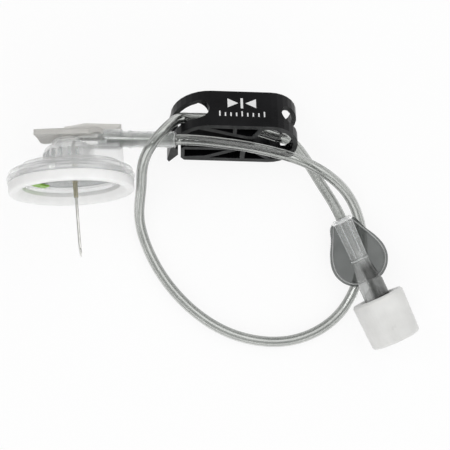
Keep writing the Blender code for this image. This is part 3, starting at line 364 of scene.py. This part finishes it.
def clamp_material():
    """Black moulding with a painted highlight: paler flat sides, where wall and rib ends catch
    light.
    """
    material = moulded("clamp_black", (0.003, 0.003, 0.0035), (0.006, 0.006, 0.007), 0.28,
                       grain=1400.0, depth=0.03 * MM, gloss=0.16)
    tree = material.node_tree
    base = tree.nodes["Principled BSDF"].inputs["Base Color"]
    face = base.links[0].from_socket
    normal = tree.nodes.new("ShaderNodeTexCoord").outputs["Normal"]
    # Painted highlight: faces looking along the clamp's Z axis get a paler black, standing in for
    # light on the rib and wall ends
    facing = reach(tree, normal, clamp_matrix().to_3x3() @ Vector((0, 0, 1)))
    flat = spread(tree, arithmetic(tree, "ABSOLUTE", facing), 0.0, 1.0, 0.80, 0.97)
    side = tint(tree, noise(tree, 260.0), (0.026, 0.027, 0.027), (0.062, 0.063, 0.063))
    tree.links.new(blend(tree, flat, face, side), base)
    return material


def connector_material():
    """Smoke-grey paddle under a clear body, whose cone and barrel have painted highlight and shade
    sides.
    """
    material, tree, shader = new_material("connector_smoke")
    place = tree.nodes.new("ShaderNodeTexCoord").outputs["Object"]
    split = tree.nodes.new("ShaderNodeSeparateXYZ")
    tree.links.new(place, split.inputs[0])
    above = spread(tree, split.outputs["Z"], 0.0, 1.0, *BODY_FADE)
    masks = []
    axis = connector_matrix().to_3x3() @ Vector((0, 0, 1))
    for way, fade in ((axis, BARREL_FADE), (Vector((0, 0, 1)).cross(axis), PAINTED_SHADE_SIDE_FADE)):
        start, end = (CONNECTOR_PLACE.dot(way) + station for station in fade)
        masks.append(spread(tree, reach(tree, place, way), 0.0, 1.0, start, end))
    barrel, painted_shade_side = masks
    flow = noise(tree, 220.0, detail=4.0)
    lines = noise(tree, 950.0, detail=3.0, stretch=(14.0, 1.0, 1.0), turn=CONNECTOR_HEADING)
    paddle = tint(tree, flow, (0.095, 0.105, 0.10), (0.15, 0.16, 0.155))
    body = tint(tree, lines, (0.56, 0.58, 0.57), (0.94, 0.95, 0.94))
    # Painted highlight and painted shade: the barrel's pale side and dark side stand in for light
    # falling across it
    pale = tint(tree, lines, (0.66, 0.67, 0.66), (0.97, 0.98, 0.97))
    dark = tint(tree, lines, (0.06, 0.063, 0.06), (0.20, 0.205, 0.195))
    colour = blend(tree, above, paddle, body)
    colour = blend(tree, arithmetic(tree, "MULTIPLY", above, barrel), colour,
                   blend(tree, painted_shade_side, pale, dark))
    tree.links.new(colour, shader.inputs["Base Color"])
    tree.links.new(spread(tree, flow, 0.10, 0.22), shader.inputs["Roughness"])
    add_bump(tree, shader, noise(tree, 1500.0, detail=2.0), 0.012 * MM)
    shader.inputs["Transmission Weight"].default_value = 0.68
    shader.inputs["Alpha"].default_value = 0.82
    shader.inputs["IOR"].default_value = PLASTIC_IOR
    return material


def make_materials():
    """Every look of the set, by its short name."""
    return {
        "clear": moulded("clear_base", (0.96, 0.965, 0.965), (0.995, 0.998, 0.998), 0.07,
                         clear=0.70, depth=0.006 * MM, alpha=0.52),
        "guard": moulded("guard_clear", (0.58, 0.60, 0.595), (0.70, 0.72, 0.715), 0.12, clear=0.6,
                         depth=0.008 * MM),
        "hub": moulded("hub_clear", (0.82, 0.84, 0.83), (0.985, 0.99, 0.985), 0.05, clear=0.90,
                       depth=0.008 * MM, streak=(8.0, 1.0, 1.0), alpha=0.62),
        "tube": moulded("tube_vinyl", (0.68, 0.69, 0.67), (0.76, 0.77, 0.75), 0.03, clear=0.97,
                        grain=400.0, depth=0.0015 * MM),
        # Painted shade: a darker copy of the tube's vinyl, for the bands that stand in for dark
        # refraction lines
        "band": moulded("tube_painted_shade", (0.21, 0.22, 0.21), (0.28, 0.29, 0.275), 0.03, clear=0.97,
                        grain=400.0, depth=0.0015 * MM),
        "bore": moulded("tube_bore", (0.90, 0.91, 0.90), (0.96, 0.97, 0.96), 0.03, clear=0.97,
                        grain=400.0, depth=0.0015 * MM),
        "sleeve": moulded("sleeve_vinyl", (0.62, 0.64, 0.63), (0.97, 0.98, 0.975), 0.04, clear=0.96,
                          depth=0.006 * MM, streak=(12.0, 1.0, 1.0), alpha=0.80),
        "frost": moulded("frosted_edge", (0.88, 0.90, 0.90), (0.96, 0.97, 0.97), 0.30, clear=0.6),
        "wing": moulded("wing_vinyl", (0.76, 0.745, 0.71), (0.90, 0.89, 0.86), 0.5, clear=0.5,
                        grain=600.0, depth=0.01 * MM, alpha=0.85),
        "black": clamp_material(),
        "edge": moulded("smoke_edge", (0.46, 0.47, 0.465), (0.56, 0.57, 0.565), 0.16, clear=0.3),
        "print": moulded("white_print", (0.80, 0.80, 0.80), (0.90, 0.90, 0.90), 0.5),
        "smoke": connector_material(),
        "white": moulded("cap_white", (0.69, 0.69, 0.675), (0.79, 0.79, 0.775), 0.34, grain=1800.0,
                         scatter=0.25),
        "lime": moulded("lock_lime", (0.24, 0.50, 0.05), (0.34, 0.62, 0.10), 0.32),
        "glue": moulded("amber_glue", (0.60, 0.57, 0.42), (0.76, 0.73, 0.58), 0.2, clear=0.5),
        "foam": foam_material(),
        "steel": steel_material(),
    }


def dress_nodes(nodes, looks):
    """Gives every carried-over solid its detailed material."""
    for name, look in (
            ("base_shell", "clear"), ("guard_plate", "guard"), ("guard_clip", "steel"),
            ("lock_tab", "lime"), ("needle_hub", "hub"), ("needle_cannula", "steel"),
            ("needle_ferrule", "glue"), ("tube_sleeve", "sleeve"),
            ("pinch_clamp", "black"), ("luer_connector", "smoke"), ("luer_cap", "white")):
        mesh = nodes[name].data
        mesh.materials.clear()
        mesh.materials.append(looks[look])


def new_piece(name, vertices, faces, material, body, matrix=None, sharp=35):
    """A smooth-shaded piece of the scene, riding on a body, with edges over some angle sharp."""
    mesh = bpy.data.meshes.new(name)
    mesh.from_pydata([tuple(v) for v in vertices], [], faces)
    mesh.validate()
    obj = bpy.data.objects.new(name, mesh)
    bpy.context.scene.collection.objects.link(obj)
    if matrix is not None:
        mesh.transform(matrix)
    mesh.materials.append(material)
    mesh.shade_smooth()
    mesh.set_sharp_from_angle(angle=math.radians(sharp))
    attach(obj, body)
    return obj


def lathe(profile, segments, wobble=None):
    """Vertices and faces of a closed profile of (radius, height) points turned about Z."""
    vertices, faces = [], []
    count = len(profile)
    for step in range(segments):
        angle = 2 * math.pi * step / segments
        for index, (radius, height) in enumerate(profile):
            if wobble:
                radius, height = wobble(angle, radius, height)
            vertices.append((radius * math.cos(angle), radius * math.sin(angle), height))
        after = (step + 1) % segments
        for index in range(count):
            nearby = (index + 1) % count
            faces.append((step * count + index, after * count + index,
                          after * count + nearby, step * count + nearby))
    return vertices, faces


def smooth_route(points, count):
    """Evenly spaced places on a smooth curve, as the tube's solid follows, and its length."""
    ends = [2 * points[0] - points[1], *points, 2 * points[-1] - points[-2]]
    fine = []
    for before, start, end, after in zip(ends, ends[1:], ends[2:], ends[3:]):
        for step in range(ROUTE_STEPS):
            t = step / ROUTE_STEPS
            fine.append(((1 - t) ** 3 * before + (3 * t ** 3 - 6 * t ** 2 + 4) * start
                         + (3 * t ** 2 - 3 * t ** 3 + 3 * t + 1) * end + t ** 3 * after) / 6)
    fine.append(points[-1])
    lengths = [0.0]
    for start, end in zip(fine, fine[1:]):
        lengths.append(lengths[-1] + (end - start).length)
    read = []
    place = 0
    for index in range(count):
        wanted = lengths[-1] * index / (count - 1)
        while place < len(fine) - 2 and lengths[place + 1] < wanted:
            place += 1
        share = (wanted - lengths[place]) / (lengths[place + 1] - lengths[place])
        read.append(fine[place].lerp(fine[place + 1], share))
    return read, lengths[-1]


def rings_along(points, radii, sides, side):
    """Rings of vertices round a route, of each radius in turn, which start on the given side."""
    vertices = []
    for index, point in enumerate(points):
        along = (points[min(index + 1, len(points) - 1)] - points[max(index - 1, 0)]).normalized()
        side = (side - along * side.dot(along)).normalized()
        across = along.cross(side)
        for radius in radii:
            for step in range(sides):
                angle = 2 * math.pi * step / sides
                way = math.cos(angle) * side + math.sin(angle) * across
                vertices.append(point + radius * way)
    return vertices


def sweep(points, radius, sides=8):
    """Vertices and faces of a rod along points, with flat ends."""
    vertices = rings_along(points, (radius,), sides, Vector((0, 1, 0)))
    faces = []
    for index in range(len(points) - 1):
        for step in range(sides):
            after = (step + 1) % sides
            low, high = index * sides, (index + 1) * sides
            faces.append((low + step, low + after, high + after, high + step))
    last = (len(points) - 1) * sides
    faces.append(tuple(reversed(range(sides))))
    faces.append(tuple(last + step for step in range(sides)))
    return vertices, faces


def make_tube(looks):
    """Hollow extension tube along the solid's route, open at both ends."""
    path, length = smooth_route([Vector(point) for point in TUBE_ROUTE], TUBE_RINGS)
    vertices = rings_along(path, (TUBE_RADIUS, TUBE_BORE_RADIUS), TUBE_SIDES, Vector((0, 0, 1)))
    faces = []
    ring = 2 * TUBE_SIDES
    for index in range(TUBE_RINGS - 1):
        for step in range(TUBE_SIDES):
            after = (step + 1) % TUBE_SIDES
            low, high = index * ring, (index + 1) * ring
            faces.append((low + step, low + after, high + after, high + step))
            inner, outer = low + TUBE_SIDES, high + TUBE_SIDES
            faces.append((inner + after, inner + step, outer + step, outer + after))
    last = (TUBE_RINGS - 1) * ring
    for step in range(TUBE_SIDES):
        after = (step + 1) % TUBE_SIDES
        faces.append((after, step, TUBE_SIDES + step, TUBE_SIDES + after))
        inner = last + TUBE_SIDES
        faces.append((last + step, last + after, inner + after, inner + step))
    tube = new_piece("clear_tube", vertices, faces, looks["tube"], "hub")
    tube.data.materials.append(looks["bore"])
    tube.data.materials.append(looks["band"])
    # Painted shade: outer faces on the banded sides get the darker band material, standing in for
    # refraction lines
    for face in tube.data.polygons:
        inside = all(index % ring >= TUBE_SIDES for index in face.vertices)
        painted_shade_face = min(face.vertices) % ring in TUBE_PAINTED_SHADE_SIDES
        face.material_index = 1 if inside else 2 if painted_shade_face else 0
    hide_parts("extension_tube")


def make_foam(looks):
    """Soft ring with rounded, slightly uneven edges."""
    profile = [(FOAM_RADIUS - FOAM_TOP_INSET, FOAM_TOP)]
    profile += [(FOAM_RADIUS, FOAM_THICKNESS * share) for share in FOAM_SIDE_HEIGHTS]
    for angle in FOAM_LIP_ANGLES:
        profile.append((FOAM_RADIUS - FOAM_LIP * (1 - math.cos(angle)),
                        FOAM_LIP * FOAM_LIP_STRETCH * (1 - math.sin(angle))))
    profile += [(FOAM_RADIUS - inset * MM, height * MM) for inset, height in FOAM_UNDERSIDE]
    profile += [(FOAM_OPENING + out * MM, FOAM_DISH + up * MM) for out, up in FOAM_DISH_EDGE]
    profile.append((FOAM_OPENING, FOAM_TOP))

    def wobble(angle, radius, height):
        wave = sum(share * math.sin(count * angle + phase)
                   for count, share, phase in FOAM_WAVES)
        soft = 1 - height / FOAM_THICKNESS
        return radius + FOAM_WAVE * wave * soft, height + FOAM_LIFT * (1 + wave / 2) * soft

    vertices, faces = lathe(profile, FOAM_SEGMENTS, wobble)
    foam = new_piece("foam_pad", vertices, faces, looks["foam"], "base",
                     head_matrix())
    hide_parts("foam_ring")


def make_wings(nodes, looks):
    """Soft wings: the solid cut into fine strips, the near wing sagging and the far one lifted."""
    into_head = Matrix.Scale(1 / MM, 4) @ head_matrix().inverted()
    draft = bmesh.new()
    draft.from_mesh(nodes["grip_wings"].data)
    bmesh.ops.transform(draft, matrix=into_head, verts=draft.verts)
    bmesh.ops.remove_doubles(draft, verts=draft.verts, dist=WING_WELD)
    low = [min(vertex.co[axis] for vertex in draft.verts) for axis in (0, 1)]
    high = [max(vertex.co[axis] for vertex in draft.verts) for axis in (0, 1)]
    for axis, step in ((0, WING_STRIP_LENGTH), (1, WING_STRIP_WIDTH)):
        normal = (1, 0, 0) if axis == 0 else (0, 1, 0)
        for index in range(1, int((high[axis] - low[axis]) / step) + 1):
            place = [0.0, 0.0, 0.0]
            place[axis] = low[axis] + index * step
            parts = [*draft.verts, *draft.edges, *draft.faces]
            bmesh.ops.bisect_plane(draft, geom=parts, dist=WING_CUT_SNAP, plane_co=place,
                                   plane_no=normal)
    draft.verts.index_update()
    vertices = []
    for vertex in draft.verts:
        x, y, z = vertex.co
        far = min(max((y - WING_FAR_ROOT) / WING_FAR_SPAN, 0.0), 1.0)
        near = min(max((-y - WING_NEAR_ROOT) / WING_NEAR_SPAN, 0.0), 1.0)
        z += WING_LIFT * (WING_FRONT - x) * far ** WING_CURVE
        z -= WING_END_DROP * min(max((WING_END_FROM - x) / WING_END_SPAN, 0.0), 1.0) * far
        z -= WING_SAG * (x - WING_BACK) * near ** WING_CURVE
        vertices.append((x, y, z))
    faces = [tuple(vertex.index for vertex in face.verts) for face in draft.faces]
    draft.free()
    wings = new_piece("vinyl_wings", vertices, faces, looks["wing"], "hub",
                      into_head.inverted(), sharp=50)
    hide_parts("grip_wings")


def make_ring(name, sizes, material, body, matrix, segments=48):
    """A low moulded ring, half sunk in the surface it sits on, with its sizes in millimetres."""
    radius, height, width, rise = (size * MM for size in sizes)
    profile = [(radius + width / 2 * math.cos(angle), height + rise * math.sin(angle))
               for angle in [math.radians(30 * step) for step in range(12)]]
    vertices, faces = lathe(profile[::-1], segments)
    new_piece(name, vertices, faces, material, body, matrix, sharp=60)


def make_shell_details(looks):
    """Moulded step rings on the clear dome, and short ribs round its tower."""
    head = head_matrix()
    for index, (radius, height) in enumerate(DOME_RINGS):
        make_ring(f"dome_ring_{index}", (radius, height, DOME_RING_WIDTH, DOME_RING_RISE),
                  looks["clear"], "base", head, 96)
    vertices, faces = [], []
    for index in range(TOWER_RIB_COUNT):
        angle = TOWER_RIB_START + index * TOWER_RIB_SWEEP / (TOWER_RIB_COUNT - 1)
        turn = Matrix.Rotation(math.radians(angle), 4, "Z")
        start = len(vertices)
        for x, z in TOWER_RIB:
            for y in (-TOWER_RIB_HALF_WIDTH, TOWER_RIB_HALF_WIDTH):
                vertices.append(turn @ Vector((x * MM, y * MM, z * MM)))
        for quad in ((0, 1, 3, 2), (2, 3, 5, 4), (4, 5, 7, 6), (6, 7, 1, 0),
                     (0, 2, 4, 6), (7, 5, 3, 1)):
            faces.append(tuple(start + corner for corner in quad))
    new_piece("tower_ribs", vertices, faces, looks["frost"], "base", head)


def make_end_rings(looks):
    """Pale solvent-welded edges where the tube enters its sleeve and its connector."""
    make_ring("sleeve_weld", SLEEVE_WELD, looks["frost"], "hub", outlet_matrix())
    for name, sizes in CONNECTOR_RINGS:
        make_ring(name, sizes, looks["frost"], "hub", connector_matrix())


def make_connector_details(looks):
    """Rounded bead along the paddle's raised rim, and four fine ribs along the tapered socket."""
    place = connector_matrix()
    half = PADDLE_WIDTH / 2 * MM
    right = [Vector((share * half, PADDLE_TOP * MM, along * PADDLE_LENGTH * MM))
             for share, along in PADDLE_SIDE]
    outline = right + [Vector((-point.x, point.y, point.z)) for point in reversed(right)]
    middle = Vector((0, PADDLE_TOP * MM, PADDLE_MIDDLE * PADDLE_LENGTH * MM))
    inner = [middle + (point - middle) * (1 - PADDLE_BEAD_INSET / (PADDLE_WIDTH / 2))
             for point in outline]
    bead, _ = smooth_route(inner, PADDLE_BEAD_RINGS)
    vertices, faces = sweep(bead, PADDLE_BEAD_RADIUS * MM)
    new_piece("paddle_bead", vertices, faces, looks["edge"], "hub", place,
              sharp=60)
    vertices, faces = [], []
    for angle in SOCKET_RIB_ANGLES:
        turn = Matrix.Rotation(math.radians(angle), 4, "Z")
        rib = [turn @ Vector((radius * MM, 0, along * MM)) for radius, along in SOCKET_RIB_ROUTE]
        start = len(vertices)
        more, quads = sweep(rib, SOCKET_RIB_RADIUS * MM, SOCKET_RIB_SIDES)
        vertices += more
        faces += [tuple(start + corner for corner in quad) for quad in quads]
    new_piece("socket_ribs", vertices, faces, looks["frost"], "hub", place,
              sharp=60)


def make_clamp_print(looks):
    """A plain pinch sign and a row of ticks, printed where the clamp's face is flat."""
    shapes = list(PINCH_SIGN)
    for index in range(TICK_COUNT):
        x = TICK_START + TICK_PITCH * index
        top = TICK_SHORT_TOP if index % TICK_TALL_EVERY else TICK_TALL_TOP
        left, right = x - TICK_HALF_WIDTH, x + TICK_HALF_WIDTH
        shapes.append([(left, TICK_FOOT), (left, top), (right, top), (right, TICK_FOOT)])
    vertices, faces = [], []
    for shape in shapes:
        start = len(vertices)
        count = len(shape)
        for face in (PRINT_FACE - PRINT_HALF_THICKNESS, PRINT_FACE + PRINT_HALF_THICKNESS):
            for along, up in shape:
                vertices.append(((along + PRINT_SHIFT) * MM, face * MM, -up * MM))
        faces.append(tuple(start + index for index in range(count)))
        faces.append(tuple(start + count + index for index in reversed(range(count))))
        for index in range(count):
            after = (index + 1) % count
            faces.append((start + after, start + index,
                          start + count + index, start + count + after))
    new_piece("clamp_print", vertices, faces, looks["print"], "hub", clamp_matrix())


def seen_directly(tree, glossy, through):
    """1 for what the camera sees, and a share of that for reflections and through clear plastic."""
    path = tree.nodes.new("ShaderNodeLightPath")
    seen = path.outputs["Is Camera Ray"]
    for ray, share in (("Is Glossy Ray", glossy), ("Is Transmission Ray", through)):
        part = arithmetic(tree, "MULTIPLY", path.outputs[ray], share)
        seen = arithmetic(tree, "MAXIMUM", seen, part)
    return seen


def make_floor():
    """Pale floor, which keeps the set's shadow and glows nearly white where it is seen."""
    mesh = bpy.data.meshes.new("floor")
    corners = [(-FLOOR_HALF, -FLOOR_HALF), (FLOOR_HALF, -FLOOR_HALF),
               (FLOOR_HALF, FLOOR_HALF), (-FLOOR_HALF, FLOOR_HALF)]
    mesh.from_pydata([(x, y, -FLOOR_DROP) for x, y in corners], [], [(0, 1, 2, 3)])
    floor = bpy.data.objects.new("floor", mesh)
    bpy.context.scene.collection.objects.link(floor)
    material, tree, shader = new_material("pale_floor")
    tree.nodes.remove(shader)
    diffuse = tree.nodes.new("ShaderNodeBsdfDiffuse")
    diffuse.inputs["Color"].default_value = (FLOOR_SHADE, FLOOR_SHADE, FLOOR_SHADE, 1)
    glow = tree.nodes.new("ShaderNodeEmission")
    glow.inputs["Color"].default_value = (1, 1, 1, 1)
    share = arithmetic(tree, "MULTIPLY", seen_directly(tree, 1.0, 1.0), FLOOR_GLOW)
    mix = tree.nodes.new("ShaderNodeMixShader")
    tree.links.new(share, mix.inputs[0])
    tree.links.new(diffuse.outputs[0], mix.inputs[1])
    tree.links.new(glow.outputs[0], mix.inputs[2])
    tree.links.new(mix.outputs[0], tree.nodes["Material Output"].inputs["Surface"])
    mesh.materials.append(material)


def make_lights():
    """Large softboxes and an even world, which is white where it is seen as background."""
    world = bpy.data.worlds.new("studio")
    world.use_nodes = True
    tree = world.node_tree
    background = tree.nodes["Background"]
    background.inputs["Color"].default_value = (1.0, 1.0, 1.0, 1)
    seen = seen_directly(tree, WORLD_GLOSS, WORLD_THROUGH)
    level = spread(tree, seen, WORLD_LIGHT, 1.0, 0.0, 1.0)
    tree.links.new(level, background.inputs["Strength"])
    bpy.context.scene.world = world
    aim = Vector((*CAMERA_AIM, 0.0))
    for name, place, size, power in LAMPS:
        data = bpy.data.lights.new(name, "AREA")
        data.shape = "RECTANGLE"
        data.size, data.size_y = size
        data.energy = power
        lamp = bpy.data.objects.new(name, data)
        lamp.location = place
        lamp.rotation_euler = (aim - Vector(place)).to_track_quat("-Z", "Y").to_euler()
        bpy.context.scene.collection.objects.link(lamp)


def make_camera():
    """Camera straight above the set, as in the photograph."""
    data = bpy.data.cameras.new("camera")
    data.sensor_width = SENSOR_WIDTH
    data.lens = SENSOR_WIDTH * FRAME_DISTANCE / FRAME_WIDTH
    data.clip_start = 0.01
    camera = bpy.data.objects.new("camera", data)
    camera.location = (*CAMERA_AIM, CAMERA_HEIGHT)
    bpy.context.scene.collection.objects.link(camera)
    bpy.context.scene.camera = camera


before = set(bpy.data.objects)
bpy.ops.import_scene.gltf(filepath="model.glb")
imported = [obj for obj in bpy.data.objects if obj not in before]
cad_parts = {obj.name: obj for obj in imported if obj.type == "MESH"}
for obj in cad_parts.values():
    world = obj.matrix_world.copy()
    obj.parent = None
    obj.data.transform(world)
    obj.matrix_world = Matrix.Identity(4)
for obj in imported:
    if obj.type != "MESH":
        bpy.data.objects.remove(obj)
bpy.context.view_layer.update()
make_camera()
looks = make_materials()
dress_nodes(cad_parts, looks)
make_tube(looks)
make_foam(looks)
make_wings(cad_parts, looks)
make_shell_details(looks)
make_end_rings(looks)
make_connector_details(looks)
make_clamp_print(looks)
make_floor()
make_lights()
bpy.context.scene.view_settings.view_transform = "Standard"
